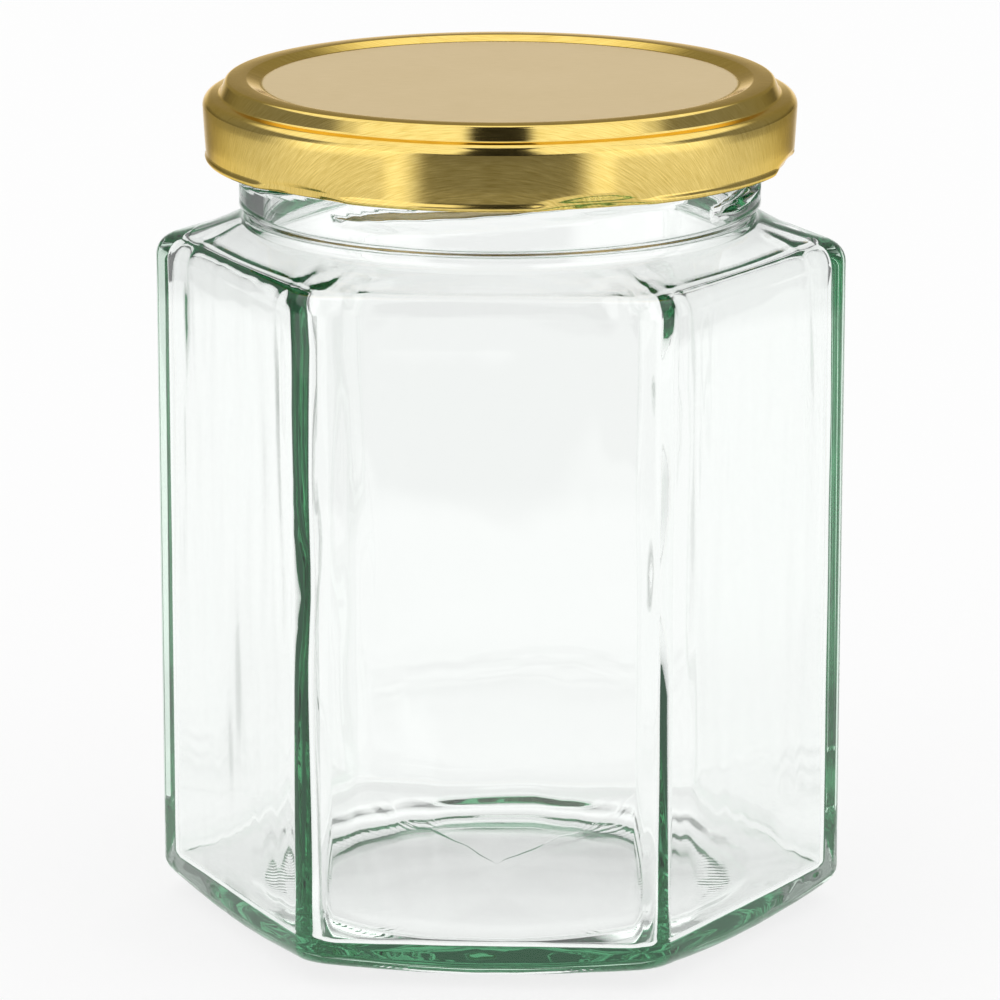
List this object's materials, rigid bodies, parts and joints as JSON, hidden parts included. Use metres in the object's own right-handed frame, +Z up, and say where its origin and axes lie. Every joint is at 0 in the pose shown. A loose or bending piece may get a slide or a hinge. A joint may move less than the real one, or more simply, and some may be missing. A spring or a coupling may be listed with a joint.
{
  "type": "hexagonal glass jar",
  "caption": "Clear glass food jar with a hexagonal body, a sloping shoulder, a round neck and a gold metal twist-off lid.",
  "frame": {"origin": "centre of the bearing ring under the base", "axes": "+Z up through the neck, -Y out of one flat panel, taken as the front; corners of the hexagon on +X and -X"},
  "size_m": [0.0772, 0.0678, 0.095],
  "materials": {
    "jar_glass": "clear fire-polished soda-lime glass with a green edge tint",
    "lid_metal": "gold lacquered tinplate, satin, finely brushed",
    "sealing_compound": "soft matt compound"
  },
  "bodies": {
    "root": {"glass_jar": "jar_glass", "lid": "lid_metal", "lid_liner": "sealing_compound"}
  },
  "joints": []
}
